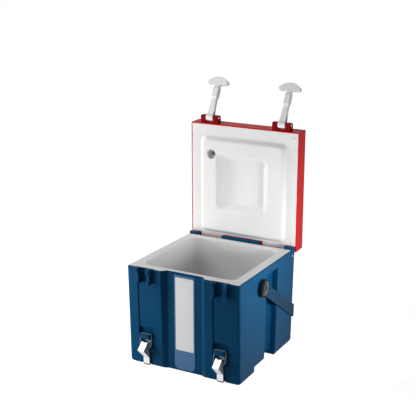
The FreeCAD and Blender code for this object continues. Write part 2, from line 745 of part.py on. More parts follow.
def handle():
    """Side view of the sloping arm, cut out of a strap bent round the back of the tub."""
    outer = HANDLE_IN + HANDLE_T
    r = HANDLE_CORNER_R
    inner_r = r - HANDLE_T
    fore = PIVOT_Y - HANDLE_EYE_R
    strap = rounded_wire(-outer, outer, fore, HANDLE_BAR_Y1, [1, 1, r, r],
                         lambda x, y: V(x, y, 0))
    hollow = rounded_wire(-HANDLE_IN, HANDLE_IN, fore - HANDLE_EYE_R, HANDLE_BAR_Y0,
                          [1, 1, inner_r, inner_r], lambda x, y: V(x, y, 0))
    strap = Part.Face(strap).extrude(V(0, 0, RIM_Z))
    strap = strap.cut(Part.Face(hollow).extrude(V(0, 0, RIM_Z)))
    reach = (HANDLE_BAR_Y1 - PIVOT_Y) / math.cos(math.radians(HANDLE_DROP)) + HANDLE_W
    arm = box(-outer, outer, PIVOT_Y, PIVOT_Y + reach,
              PIVOT_Z - HANDLE_W / 2, PIVOT_Z + HANDLE_W / 2)
    arm.rotate(V(0, PIVOT_Y, PIVOT_Z), V(1, 0, 0), -HANDLE_DROP)
    side = arm.fuse(cross_rod(PIVOT_Y, PIVOT_Z, HANDLE_EYE_R, -outer, outer))
    grip = strap.common(side)
    grip = grip.cut(cross_rod(PIVOT_Y, PIVOT_Z, HANDLE_PIN_R + RUN_FIT, -outer, outer))
    return grip.removeSplitter()


# Draw latch pieces at x = 0

def brow():
    """Start of the lever front plate, on the eye."""
    dy = KNEE[0] - LEVER_Y
    dz = KNEE[1] - LEVER_Z
    run = math.hypot(dy, dz)
    return (LEVER_Y + LEVER_EYE_R * dz / run, LEVER_Z - LEVER_EYE_R * dy / run)


def lever():
    """Folded sheet lever: front plate with a knee, two cheeks, two knuckles, riveted pin."""
    half = LEVER_HALF
    calf = (LEVER_Y + LEVER_EYE_R, LEVER_Z)
    body = side_prism([brow(), KNEE, INSTEP, TIP, TIP_BACK, SHIN_BACK, calf], -half, half)
    behind = SHIN_BACK[0] + CLEAR_OF_FACE
    ring = [brow(), KNEE, INSTEP, (behind, INSTEP[1]), (behind, brow()[1])]
    room = Part.makePolygon([V(LEVER_SHEET - half, y, z) for y, z in ring + ring[:1]])
    room = room.makeOffset2D(-LEVER_SHEET, 2)
    body = body.cut(Part.Face(room).extrude(V(2 * (half - LEVER_SHEET), 0, 0)))
    eye = cross_rod(LEVER_Y, LEVER_Z, LEVER_EYE_R, -half, half)
    split = BASE_ARM_HALF + EYE_GAP
    reach = LEVER_EYE_R + 1
    knuckle_room = box(-split, split, LEVER_Y - BASE_KNUCKLE_R - KNUCKLE_ROOM,
                       LEVER_Y + reach, LEVER_Z - reach, LEVER_Z + reach)
    body = body.fuse(eye).cut(knuckle_room)
    wire = cross_rod(LOOP_Y, LOOP_Z, WIRE_R + RUN_FIT, -half, half)
    pin = cross_rod(LEVER_Y, LEVER_Z, LEVER_PIN_R, -half, half)
    return fused([body.cut(wire), pin])


def lever_pad():
    """Rubber heel behind and below the lever tip."""
    points = [(TIP[0] - 1, TIP[1]), (TIP[0], PAD_FOOT_Z), (PAD_BACK - PAD_BEVEL, PAD_FOOT_Z),
              (PAD_BACK, PAD_FOOT_Z + PAD_BEVEL), (PAD_BACK, PAD_TOP_Z - PAD_BEVEL),
              (PAD_BACK - PAD_BEVEL, PAD_TOP_Z), (SHIN_BACK[0] - 1, PAD_TOP_Z),
              (TIP_BACK[0] - 1, TIP_BACK[1])]
    pad = side_prism(points, -LEVER_HALF, LEVER_HALF)
    body = side_prism([KNEE, INSTEP, TIP, TIP_BACK, SHIN_BACK], -LEVER_HALF, LEVER_HALF)
    return pad.cut(body)


def latch_base():
    """Bracket on the pocket floor with one knuckle for the lever pin."""
    plate = leaning_slab(front_y, BASE_T - POCKET_D, POCKET_D, BASE_Z0, BASE_Z1, BASE_HALF)
    r = BASE_KNUCKLE_R
    arm = box(-BASE_ARM_HALF, BASE_ARM_HALF, LEVER_Y, front_y(LEVER_Z) + POCKET_D - 1,
              LEVER_Z - r, LEVER_Z + r)
    eye = cross_rod(LEVER_Y, LEVER_Z, r, -BASE_ARM_HALF, BASE_ARM_HALF)
    base = fused([plate, arm, eye])
    bore = LEVER_PIN_R + RUN_FIT
    return base.cut(cross_rod(LEVER_Y, LEVER_Z, bore, -BASE_HALF, BASE_HALF))


def wire_loop():
    """Closed loop of round wire with mitred corners."""
    run = math.hypot(LOOP_TOP_Y - LOOP_Y, LOOP_TOP_Z - LOOP_Z)
    up = ((LOOP_TOP_Y - LOOP_Y) / run, (LOOP_TOP_Z - LOOP_Z) / run)

    def at(x, s):
        return V(x, LOOP_Y + up[0] * s, LOOP_Z + up[1] * s)
    path = Part.makePolygon([at(0, 0), at(LOOP_HALF, 0), at(LOOP_HALF, run), at(0, run)])
    ring = Part.Wire(Part.makeCircle(WIRE_R, at(0, 0), V(1, 0, 0)))
    half = path.makePipeShell([ring], True, False, 1)
    return fused(both_sides(half))


# Turn the lid parts open and write everything

def opened(shape):
    """Lid part turned from shut to the open pose."""
    shape = shape.copy()
    shape.rotate(V(0, HINGE_Y, HINGE_Z), V(-1, 0, 0), LID_OPEN)
    return shape


def leaned(shape):
    """T-latch turned up on its pin, before the lid is opened."""
    shape = shape.copy()
    shape.rotate(V(0, PIN_Y, PIN_Z), V(-1, 0, 0), LATCH_OPEN)
    return shape


def pair(name, shapes):
    return {name + "_left": shapes[0], name + "_right": shapes[1]}


def assembly():
    parts = {"outer_shell": outer_shell(), "inner_liner": inner_liner(),
             "foam_core": foam_core(), "front_strip": front_strip(),
             "sight_window": sight_window(), "hinge_rod": hinge_rod(), "handle": handle()}
    for name, make in (("handle_pin", handle_pin), ("pivot_washer", pivot_washer),
                       ("pivot_cap", pivot_cap)):
        parts.update(pair(name, both_sides(make())[::-1]))
    for name, make in (("latch_base", latch_base), ("lever", lever),
                       ("lever_pad", lever_pad), ("wire_loop", wire_loop)):
        parts.update(pair(name, both_stations(make())))
    parts.update({"lid_shell": opened(lid_shell()), "lid_liner": opened(lid_liner()),
                  "lid_foam": opened(lid_foam()), "port_button": opened(port_button())})
    for name, make in (("latch_bracket", latch_bracket), ("latch_pin", latch_pin)):
        parts.update(pair(name, both_stations(opened(make()))))
    parts.update(pair("t_latch", both_stations(opened(leaned(t_latch())))))
    return parts


for node, shape in assembly().items():
    shape.exportStep("parts/%s.step" % node)
    print(node, "solids", len(shape.Solids), "valid", shape.isValid(), "volume", round(shape.Volume))
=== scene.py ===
import json
import math
import bmesh
import bpy
from mathutils import Matrix, Vector


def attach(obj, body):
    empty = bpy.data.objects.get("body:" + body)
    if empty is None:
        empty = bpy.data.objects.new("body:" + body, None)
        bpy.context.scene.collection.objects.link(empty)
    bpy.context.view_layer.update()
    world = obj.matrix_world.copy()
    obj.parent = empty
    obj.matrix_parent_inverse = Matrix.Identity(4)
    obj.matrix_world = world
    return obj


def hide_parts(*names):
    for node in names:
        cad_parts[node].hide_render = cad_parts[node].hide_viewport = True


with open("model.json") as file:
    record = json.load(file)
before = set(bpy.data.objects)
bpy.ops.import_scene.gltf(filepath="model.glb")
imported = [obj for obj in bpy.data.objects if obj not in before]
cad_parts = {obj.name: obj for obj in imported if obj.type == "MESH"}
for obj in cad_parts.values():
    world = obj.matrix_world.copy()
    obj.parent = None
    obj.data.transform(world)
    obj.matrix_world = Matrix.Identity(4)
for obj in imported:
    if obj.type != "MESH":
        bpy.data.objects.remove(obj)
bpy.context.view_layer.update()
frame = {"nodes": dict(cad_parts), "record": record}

# A hard cooler box on a white floor: blue tub, white liner, red lid standing open, two pale
# rubber latches on the lid, a bail handle round the back and two bright draw latches low down.
# Metres; X right, Y back, Z up. Sizes named _MM are in millimetres.

MM = 0.001
MICRON = 1e-6

# Where the lid and its latches turn, and how far they stand open in the frame
LID_AXIS = Vector((0, 0.1765, 0.26075))
LID_OPEN = math.radians(87.6)
LATCH_AXIS = Vector((0, -0.1894, 0.2902))
LATCH_OPEN = math.radians(119.4)


def turned(axis_point, angle):
    """Turn about a line through a point, along X."""
    return (Matrix.Translation(axis_point) @ Matrix.Rotation(angle, 4, "X")
            @ Matrix.Translation(-axis_point))


AS_IS = Matrix.Identity(4)
LID_SHUT = turned(LID_AXIS, LID_OPEN)
LATCH_HANGING = turned(LATCH_AXIS, LATCH_OPEN) @ LID_SHUT


# Colours and node trees

def rgb(code):
    """Hex sRGB colour as linear RGBA."""
    values = [int(code[i:i + 2], 16) / 255 for i in (1, 3, 5)]
    return [v / 12.92 if v <= 0.04045 else ((v + 0.055) / 1.055) ** 2.4 for v in values] + [1.0]


def add(tree, kind, settings=(), links=()):
    """Adds a node; settings are properties or inputs, links are input: (node, output)."""
    node = tree.nodes.new(kind)
    for key, value in dict(settings).items():
        if isinstance(key, str) and hasattr(node, key):
            setattr(node, key, value)
        else:
            node.inputs[key].default_value = value
    for key, (source, output) in dict(links).items():
        tree.links.new(source.outputs[output], node.inputs[key])
    return node


def blank(name):
    material = bpy.data.materials.new(name)
    material.use_nodes = True
    material.node_tree.nodes.clear()
    return material, material.node_tree


def per_metre(size_mm):
    """Noise scale for features of the given size."""
    return 1 / (size_mm * MM)


# Sizes of the slow colour drift and of the patches of uneven gloss, how far the noise of
# those patches swings, and how much of the grain's depth shows
DRIFT_MM = 90
SCUFF_MM = 7
SCUFF_SWING = (0.3, 0.7)
GRAIN_STRENGTH = 0.6


def surface(name, base, shade, rough, grain_mm, grain_depth_mm, **shader):
    """Finish with a slow colour drift, an uneven gloss and a fine grain.

    base and shade are the two ends of the drift, rough the two ends of the roughness.
    """
    material, tree = blank(name)
    place = add(tree, "ShaderNodeTexCoord")
    drift = add(tree, "ShaderNodeTexNoise", {"Scale": per_metre(DRIFT_MM), "Detail": 3.0},
                {"Vector": (place, "Object")})
    colour = add(tree, "ShaderNodeMix", {"data_type": "RGBA", 6: rgb(base), 7: rgb(shade)},
                 {0: (drift, "Fac")})
    scuff = add(tree, "ShaderNodeTexNoise", {"Scale": per_metre(SCUFF_MM), "Detail": 4.0,
                                             "Roughness": 0.6}, {"Vector": (place, "Object")})
    gloss = add(tree, "ShaderNodeMapRange",
                {"From Min": SCUFF_SWING[0], "From Max": SCUFF_SWING[1],
                 "To Min": rough[0], "To Max": rough[1]}, {"Value": (scuff, "Fac")})
    grain = add(tree, "ShaderNodeTexNoise", {"Scale": per_metre(grain_mm), "Detail": 2.0},
                {"Vector": (place, "Object")})
    bump = add(tree, "ShaderNodeBump",
               {"Strength": GRAIN_STRENGTH, "Distance": grain_depth_mm * MM},
               {"Height": (grain, "Fac")})
    lit = add(tree, "ShaderNodeBsdfPrincipled", shader,
              {"Base Color": (colour, 2), "Roughness": (gloss, "Result"),
               "Normal": (bump, "Normal")})
    add(tree, "ShaderNodeOutputMaterial", {}, {"Surface": (lit, "BSDF")})
    return material


# Finishes

# The fine texture of moulded skins breaks up their mirror part, so little of it is left
MUTED = {"Specular IOR Level": 0.03}

FINISHES = {
    # Rotation-moulded polyethylene: low gloss and a fine orange-peel skin
    "polyethylene_blue": surface("rotomoulded_polyethylene_blue", "#0c4569", "#0a3f61",
                                 (0.42, 0.52), 1.6, 0.05, IOR=1.51, **MUTED),
    # The same plastic in white: a soft sheen that shows every bend as a grey gradient
    "polyethylene_white": surface("rotomoulded_polyethylene_white", "#e2e2e1", "#dcdcdb",
                                  (0.38, 0.48), 1.8, 0.04, IOR=1.51, **MUTED),
    # Injection-moulded polypropylene in red: a little glossier than the tub
    "polypropylene_red": surface("moulded_polypropylene_red", "#c81619", "#be1417",
                                 (0.3, 0.4), 1.4, 0.03, IOR=1.49, **MUTED),
    # Glass-filled nylon in the lid's red, darkened as painted shade on the brackets: matt,
    # slightly uneven skin of the brackets
    "nylon_red_painted_shade": surface("glass_filled_nylon_red_painted_shade", "#8a0a0e", "#7e090c",
                              (0.38, 0.5), 0.9, 0.03, IOR=1.53, **MUTED),
    # Moulded polypropylene in grey blue, satin
    "polypropylene_slate": surface("moulded_polypropylene_slate_blue", "#587ca4", "#52769e",
                                   (0.36, 0.44), 1.4, 0.03, IOR=1.49, **MUTED),
    # Frosted polycarbonate panel, nearly white
    "polycarbonate_frosted": surface("frosted_polycarbonate", "#e2e2e2", "#dbdcdc",
                                     (0.28, 0.36), 1.2, 0.01, IOR=1.58),
    # Glass-filled nylon in dark blue: the strap of the handle
    "nylon_dark_blue": surface("glass_filled_nylon_dark_blue", "#083552", "#072f4a",
                               (0.38, 0.48), 0.9, 0.03, IOR=1.53, **MUTED),
    # Moulded acetal in black: waxy and smooth
    "acetal_black": surface("moulded_acetal_black", "#060607", "#090a0b",
                            (0.2, 0.28), 1.2, 0.01, IOR=1.48, **MUTED),
    # Thermoplastic rubber in pale grey: matt
    "rubber_pale_grey": surface("moulded_rubber_pale_grey", "#f0f0f0", "#eaeaea",
                                (0.5, 0.6), 1.1, 0.006, IOR=1.52, **MUTED),
    # Black rubber, matt
    "rubber_black": surface("moulded_rubber_black", "#121213", "#18181a",
                            (0.5, 0.62), 1.0, 0.03, IOR=1.52),
    # Dark red nylon of the button in the port
    "nylon_wine": surface("moulded_nylon_wine_red", "#5c0a0d", "#500809",
                          (0.4, 0.5), 1.0, 0.02, IOR=1.53),
    # Satin chromium plating on pressed steel: it keeps soft patches of light and dark
    "satin_chromium": surface("satin_chromium_plated_steel", "#cfd0d0", "#c6c7c7",
                              (0.38, 0.48), 1.2, 0.01, Metallic=1.0),
    # Chrome plating with its colour darkened to near black: a painted dark reflection of dark
    # surroundings, a dark mirror
    "chrome_darkened_painted_reflection": surface("chrome_plated_steel_painted_dark_reflection", "#18181a", "#111113",
                            (0.06, 0.1), 3.0, 0.003, Metallic=1.0),
    # Pressed stainless steel, tumbled to a soft shine
    "stainless_tumbled": surface("tumbled_stainless_steel", "#c9cbce", "#bbbec2",
                                 (0.22, 0.32), 0.8, 0.008, Metallic=1.0),
    # Drawn steel wire, zinc plated: dull dark grey shine
    "steel_wire": surface("zinc_plated_steel_wire", "#66686c", "#5a5c60",
                          (0.25, 0.36), 0.6, 0.01, Metallic=1.0),
    # Closed-cell foam: never seen, between the skins
    "foam": surface("closed_cell_polyurethane_foam", "#e6dcb8", "#dcd0a6",
                    (0.8, 0.95), 1.5, 0.3, IOR=1.4),
}

NODE_FINISH = {
    "outer_shell": "polyethylene_blue", "inner_liner": "polyethylene_white",
    "foam_core": "foam", "front_strip": "polypropylene_slate",
    "sight_window": "polycarbonate_frosted", "hinge_rod": "stainless_tumbled",
    "latch_base": "stainless_tumbled", "handle_pin": "stainless_tumbled",
    # The pivot caps' finish is chrome darkened: painted dark reflection
    "pivot_washer": "acetal_black", "pivot_cap": "chrome_darkened_painted_reflection",
    "lid_shell": "polypropylene_red", "lid_liner": "polyethylene_white", "lid_foam": "foam",
    # The brackets' finish is the lid's red darkened: painted shade
    "port_button": "nylon_wine", "latch_bracket": "nylon_red_painted_shade",
    "latch_pin": "stainless_tumbled", "t_latch": "rubber_pale_grey",
    "handle": "nylon_dark_blue", "lever": "satin_chromium", "lever_pad": "rubber_black",
    "wire_loop": "steel_wire",
}


def matching(table, node):
    """Entry of a table for a node; the longest matching start of its name counts."""
    starts = [key for key in table if node == key or node.startswith(key + "_")]
    return table[max(starts, key=len)] if starts else None


def finish_of(node):
    return FINISHES[matching(NODE_FINISH, node)]


for name, cad in frame["nodes"].items():
    cad.data.materials.clear()
    cad.data.materials.append(finish_of(name))


# Pieces that stand for CAD nodes

BODY_OF = {node: body for body, nodes in frame["record"]["behaviour"]["bodies"].items()
           for node in nodes}
# Points nearer than WELD are one, faces within FLAT of each other are one, and edges sharper
# than CREASE are the ones that get rounded
WELD = 5 * MICRON
FLAT = math.radians(0.4)
CREASE = math.radians(32)


def new_object(name, mesh):
    obj = bpy.data.objects.new(name, mesh)
    bpy.context.scene.collection.objects.link(obj)
    return obj


def settle(obj):
    """Applies the modifiers of an object to its mesh."""
    graph = bpy.context.evaluated_depsgraph_get()
    obj.data = bpy.data.meshes.new_from_object(obj.evaluated_get(graph))
    obj.modifiers.clear()


def modify(obj, kind, **settings):
    modifier = obj.modifiers.new(kind.lower(), kind)
    for key, value in settings.items():
        setattr(modifier, key, value)


def finished(piece, placed=AS_IS):
    """Smooth over the roundings, truly flat on the large faces, and back in its place."""
    piece.data.shade_smooth()
    piece.data.set_sharp_from_angle(angle=CREASE)
    modify(piece, "WEIGHTED_NORMAL", keep_sharp=True)
    settle(piece)
    piece.data.transform(placed.inverted())


def stands_for(piece, node):
    """Gives a finished piece its material and lets it take the place of a node."""
    piece.data.materials.clear()
    piece.data.materials.append(finish_of(node))
    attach(piece, BODY_OF[node])
    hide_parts(node)


def merged_copy(node, placed):
    """Welded copy of a node's mesh in the given placing, of large flat convex faces."""
    mesh = frame["nodes"][node].data.copy()
    mesh.transform(placed)
    work = bmesh.new()
    work.from_mesh(mesh)
    bmesh.ops.remove_doubles(work, verts=work.verts, dist=WELD)
    bmesh.ops.dissolve_limit(work, angle_limit=FLAT, verts=work.verts, edges=work.edges)
    bmesh.ops.connect_verts_concave(work, faces=work.faces)
    work.to_mesh(mesh)
    work.free()
    return mesh


def weigh_edges(mesh, usual_mm, special, widest_mm):
    """Writes the rounding of every sharp edge: its width over the widest.

    special is a list of (test of an edge's two ends in mm, width in mm); the first that
    holds counts, and the usual width is for the rest.
    """
    work = bmesh.new()
    work.from_mesh(mesh)
    weight = work.edges.layers.float.new("bevel_weight_edge")
    for edge in work.edges:
        if len(edge.link_faces) != 2 or edge.calc_face_angle(0) < CREASE:
            continue
        a, b = [vert.co / MM for vert in edge.verts]
        widths = [width for test, width in special if test(a, b)]
        edge[weight] = (widths[0] if widths else usual_mm) / widest_mm
    work.to_mesh(mesh)
    work.free()


def rounded(node, usual_mm, special=(), placed=AS_IS, steps=3, cut=None):
    """Copy of a node with its sharp edges rounded over, shown in its place.

    cut makes a tool that takes more off it.
    """
    mesh = merged_copy(node, placed)
    widest_mm = max([usual_mm] + [width for _, width in special])
    weigh_edges(mesh, usual_mm, special, widest_mm)
    piece = new_object(node + "_rounded", mesh)
    modify(piece, "BEVEL", width=widest_mm * MM, segments=steps, limit_method="WEIGHT",
           use_clamp_overlap=False, miter_outer="MITER_ARC")
    settle(piece)
    if cut:
        shaped_by(piece, cut(), "DIFFERENCE")
    finished(piece, placed)
    stands_for(piece, node)


# How far a point may be off a level and still lie in it
NEAR_MM = 0.1


def at_level(z):
    """Test for edges that lie in one level."""
    return lambda a, b: abs(a.z - z) < NEAR_MM and abs(b.z - z) < NEAR_MM


# How far each smoothing pass draws a point to its neighbours
SMOOTH_SHARE = 0.5


def moulded(node, voxel_mm, passes, placed):
    """Soft copy of a node, remade from small cells and smoothed, shown in its place."""
    mesh = frame["nodes"][node].data.copy()
    mesh.transform(placed)
    piece = new_object(node + "_moulded", mesh)
    modify(piece, "REMESH", mode="VOXEL", voxel_size=voxel_mm * MM)
    modify(piece, "SMOOTH", factor=SMOOTH_SHARE, iterations=passes)
    settle(piece)
    piece.data.transform(placed.inverted())
    piece.data.shade_smooth()
    stands_for(piece, node)


# Pieces skinned over rings

# Steps in the quarter turn of each corner of a ring
ARC_STEPS = 8


def ring_points(key):
    """Rounded rectangle in one level: half width, front, back, corner radius and level in mm."""
    half, front, back, r, z = key
    corners = [(half - r, back - r), (r - half, back - r), (r - half, front + r),
               (half - r, front + r)]
    points = []
    for quarter, (x, y) in enumerate(corners):
        for step in range(ARC_STEPS + 1):
            turn = math.radians(90 * (quarter + step / ARC_STEPS))
            points.append(Vector((x + r * math.cos(turn), y + r * math.sin(turn), z)) * MM)
    return points


def eased(keys, steps=5):
    """Run of rings through the keys; each inner key is rounded over its own length."""
    rings = [Vector(key) for key, _ in keys]
    run = [rings[0]]
    for before, here, after, (_, length) in zip(rings, rings[1:], rings[2:], keys[1:]):
        ends = [here.lerp(other, length / math.hypot(here[0] - other[0], here[4] - other[4]))
                for other in (before, after)]
        for step in range(steps + 1 if length else 1):
            at = step / steps
            run.append(ends[0].lerp(here, at).lerp(here.lerp(ends[1], at), at))
    return run + [rings[-1]]


def skinned(name, keys):
    """Closed body over the run of rings, its first and last ring capped."""
    work = bmesh.new()
    rows = [[work.verts.new(p) for p in ring_points(key)] for key in eased(keys)]
    for row, following in zip(rows, rows[1:]):
        for i in range(len(row)):
            work.faces.new((row[i], row[i - 1], following[i - 1], following[i]))
    work.faces.new(rows[0])
    work.faces.new(rows[-1][::-1])
    bmesh.ops.recalc_face_normals(work, faces=work.faces)
    mesh = bpy.data.meshes.new(name)
    work.to_mesh(mesh)
    work.free()
    return new_object(name, mesh)


def disc(r, z):
    """Key of a round ring about the origin."""
    return (r, -r, r, r, z)


def shaped_by(piece, tool, operation):
    """Joins a tool to a piece or cuts it out of it, and drops the tool."""
    modify(piece, "BOOLEAN", object=tool, operation=operation, solver="EXACT")
    settle(piece)
    bpy.data.objects.remove(tool)


# Tub

RIM_Z, LINER_FLOOR_Z, KNEE_Z = 279.0, 45.0, 59.0
LATCH_X_MM = 111.0
LIP_MM = 3.0

# Where the tests below look. The nubs stand off the middle of a latch by NUB_OFF_MM
NUB_OFF_MM, NUB_REACH_MM = 9.9, 2.2
NUB_Y_MM, NUB_Z_MM = (-187, -160), (238, 248)
HOOK_HALF_MM, HOOK_Y_MM, HOOK_Z_MM = 14.1, -160, (71, 95)
KNUCKLE_END_MM = Vector((156, 185, 250))
MOUTH_HALF_MM, MOUTH_Y_MM = (137, 147), 5


def off_latch(p):
    """Distance of a point from the middle of its latch, across the box."""
    return abs(abs(p.x) - LATCH_X_MM)


def foot(a, b):
    """Edges of the flat base."""
    return max(a.z, b.z) < NEAR_MM


def snap_nub(a, b):
    """The little nubs between the keeper lugs."""
    return all(abs(off_latch(p) - NUB_OFF_MM) < NUB_REACH_MM
               and NUB_Y_MM[0] < p.y < NUB_Y_MM[1] and NUB_Z_MM[0] < p.z < NUB_Z_MM[1]
               for p in (a, b))


def hook(a, b):
    """The hook that holds a wire loop."""
    return all(off_latch(p) < HOOK_HALF_MM and p.y < HOOK_Y_MM
               and HOOK_Z_MM[0] < p.z < HOOK_Z_MM[1] for p in (a, b))


def thin_rim(a, b):
    """Edges of the lip next to the liner."""
    return min(a.z, b.z) > RIM_Z - LIP_MM


def knuckle_foot(a, b):
    """Where an end knuckle stands over the rounded back corner."""
    return any(abs(p.x) > KNUCKLE_END_MM.x and p.y > KNUCKLE_END_MM.y
               and p.z > KNUCKLE_END_MM.z for p in (a, b))


def basin_mouth(a, b):
    """The inner edge of the liner's flange."""
    return all(abs(p.x) < MOUTH_HALF_MM[0] and abs(p.y - MOUTH_Y_MM) < MOUTH_HALF_MM[1]
               and p.z > RIM_Z - NEAR_MM for p in (a, b))


# The foot of the tub: the body that stays, from its flat base up, and a low frame round it.
# Keys of rings: half width, front, back, corner radius and level, then the rounding's length
FOOT_RUN = [((145, -135, 172, 9, -3), 0), ((165.3, -155.3, 192.3, 9, 0), 8),
            ((165.3, -156.3, 192.3, 5, 14), 0)]
FOOT_FRAME = [((180, -175, 207, 5, z), 0) for z in (-8, 12)]


def foot_cut():
    """What the large rounding along the foot takes off."""
    tool = skinned("foot_frame", FOOT_FRAME)
    shaped_by(tool, skinned("foot_body", FOOT_RUN), "DIFFERENCE")
    return tool


rounded("outer_shell", 1.2, [(foot, 1.0), (snap_nub, 0.5), (hook, 1.6), (thin_rim, 0.2),
                             (knuckle_foot, 0.0)], cut=foot_cut)
rounded("inner_liner", 0.3, [(basin_mouth, 3.0), (at_level(LINER_FLOOR_Z), 2.5),
                             (at_level(KNEE_Z), 2.5)])
rounded("front_strip", 0.4)
rounded("sight_window", 0.4)
rounded("hinge_rod", 0.5)
rounded("handle", 1.0)
for side in ("left", "right"):
    rounded("latch_base_" + side, 0.3)
    rounded("pivot_washer_" + side, 0.8)
    rounded("lever_" + side, 0.45)
    rounded("lever_pad_" + side, 0.9)


# Lid

PANEL_Z, PLUG_FACE_Z = 279.4, 267.4
PORT_MM = Vector((-97, -87, PLUG_FACE_Z))

# Section of the liner with the lid shut, from the floor of the dish out to the rim and back
# behind it: half width, front, back, corner radius and level, then the length of the rounding
LINER_RUN = [
    ((52, -62, 47, 5, 287.4), 0), ((60.5, -70.5, 55.5, 9, 287.4), 7),
    ((80, -90, 75, 15, 267.4), 4), ((124, -129, 139, 15, 267.4), 5),
    ((133, -138, 148, 17, 279.4), 4), ((163.7, -170.4, 170, 1.5, 279.4), 0.8),
    ((163.7, -170.4, 170, 1.5, 283.4), 0), ((129, -134, 144, 15, 283.4), 0),
    ((120, -125, 135, 13, 271.4), 0), ((81, -91, 76, 14, 271.4), 0),
    ((64.5, -74.5, 59.5, 8, 291.4), 0),
]
# Port: its block behind the liner, and the cup that is cut into it
PORT_BLOCK = [((17, -17, 17, 4, 1), 0), ((17, -17, 17, 4, 19), 0)]
PORT_CUP = [(disc(12.5, 15), 0), (disc(14, 15), 1), (disc(14, 0), 1.4), (disc(18, 0), 0),
            (disc(18, -2), 0)]
# Notches that leave room for the hinge: their ends across and along the box, and how far
# they go below and above the face of the liner
HINGE_NOTCHES_MM = ((-170, -134.9), (-62.6, 62.6), (134.9, 170))
NOTCH_Y_MM = (154.03, 175)
NOTCH_REACH_MM = (-5, 8)
NOTCH_R_MM = 0.6


def lid_liner():
    """White underside of the lid: raised plug, dish, port cup and room for the hinges."""
    liner = skinned("lid_liner_moulded", LINER_RUN)
    for run, operation in ((PORT_BLOCK, "UNION"), (PORT_CUP, "DIFFERENCE")):
        tool = skinned("port_tool", run)
        tool.data.transform(Matrix.Translation(PORT_MM * MM))
        shaped_by(liner, tool, operation)
    for x0, x1 in HINGE_NOTCHES_MM:
        tool = skinned("hinge_notch", [(((x1 - x0) / 2, *NOTCH_Y_MM, NOTCH_R_MM, PANEL_Z + z), 0)
                                       for z in NOTCH_REACH_MM])
        tool.data.transform(Matrix.Translation(((x0 + x1) / 2 * MM, 0, 0)))
        shaped_by(liner, tool, "DIFFERENCE")
    finished(liner, LID_SHUT)
    stands_for(liner, "lid_liner")


LID_EDGE_MM, UPRIGHT_MM = 165, 20


def lid_corner(a, b):
    """The four upright corners of the skin."""
    return all(abs(p.x) > LID_EDGE_MM for p in (a, b)) and abs(a.z - b.z) > UPRIGHT_MM


lid_liner()
rounded("lid_shell", 0.8, [(lid_corner, 4.5)], placed=LID_SHUT, steps=4)
rounded("port_button", 0.6, placed=LID_SHUT)
for side in ("left", "right"):
    rounded("latch_bracket_" + side, 1.0, placed=LID_SHUT)
    moulded("t_latch_" + side, 0.7, 24, placed=LATCH_HANGING)


# Caps of the handle pivots: a shallow dome with a dimple

PIVOT_MM = Vector((0, -31, 231))
CAP_FOOT_X_MM = 173.0
CAP_RUN = [(disc(2.5, 0.9), 0), (disc(4.6, 0.9), 1), (disc(7, 2.15), 1.2), (disc(14, 1.9), 4),
           (disc(20.4, 0.5), 0.4), (disc(20.4, 0), 0)]
for side, across in (("left", -1), ("right", 1)):
    cap = skinned("pivot_cap_%s_domed" % side, CAP_RUN)
    place = Matrix.Translation((PIVOT_MM + Vector((across * CAP_FOOT_X_MM, 0, 0))) * MM)
    cap.data.transform(place @ Matrix.Rotation(across * math.radians(90), 4, "Y"))
    finished(cap)
    stands_for(cap, "pivot_cap_" + side)


# Pieces grown from a rule: wire loops and screws

BEND_STEPS, WIRE_SIDES, SCREW_SIDES = 8, 20, 28
# Radius of a screw's crown and reach of its slots, as shares of the head's radius
CROWN_SHARE, SLOT_SHARE = 0.72, 0.95


def node_group(name, sizes):
    """Empty geometry tree with a mesh input and named lengths; returns tree, input, output."""
    tree = bpy.data.node_groups.new(name, "GeometryNodeTree")
    tree.interface.new_socket("Geometry", in_out="INPUT", socket_type="NodeSocketGeometry")
    tree.interface.new_socket("Geometry", in_out="OUTPUT", socket_type="NodeSocketGeometry")
    for key in sizes:
        tree.interface.new_socket(key, in_out="INPUT", socket_type="NodeSocketFloat")
    return tree, tree.nodes.new("NodeGroupInput"), tree.nodes.new("NodeGroupOutput")


def finish_tree(tree, out, last, finish):
    """Ends a tree: plain mesh, smooth, with its material."""
    whole = add(tree, "GeometryNodeRealizeInstances", {}, {"Geometry": last})
    dressed = add(tree, "GeometryNodeSetMaterial", {"Material": finish},
                  {"Geometry": (whole, "Geometry")})
    tree.links.new(dressed.outputs["Geometry"], out.inputs["Geometry"])


def grow(name, mesh, tree, sizes):
    """Runs a tree on a mesh with its lengths set, and keeps the result as a plain mesh."""
    piece = new_object(name, mesh)
    modifier = piece.modifiers.new("growth", "NODES")
    modifier.node_group = tree
    ids = {item.name: item.identifier for item in tree.interface.items_tree
           if item.item_type == "SOCKET" and item.in_out == "INPUT"}
    for key, value in sizes.items():
        modifier[ids[key]] = value
    settle(piece)
    return piece


def loop_tree(finish):
    """Wire laid along a ring of straight runs, its corners bent to a radius."""
    tree, given, out = node_group("wire_along_ring", ("Wire Radius", "Bend Radius"))
    path = add(tree, "GeometryNodeMeshToCurve", {}, {"Mesh": (given, "Geometry")})
    bent = add(tree, "GeometryNodeFilletCurve", {"mode": "POLY", "Count": BEND_STEPS},
               {"Curve": (path, "Curve"), "Radius": (given, "Bend Radius")})
    ring = add(tree, "GeometryNodeCurvePrimitiveCircle", {"Resolution": WIRE_SIDES},
               {"Radius": (given, "Wire Radius")})
    wire = add(tree, "GeometryNodeCurveToMesh", {}, {"Curve": (bent, "Curve"),
                                                     "Profile Curve": (ring, "Curve")})
    finish_tree(tree, out, (wire, "Mesh"), finish)
    return tree


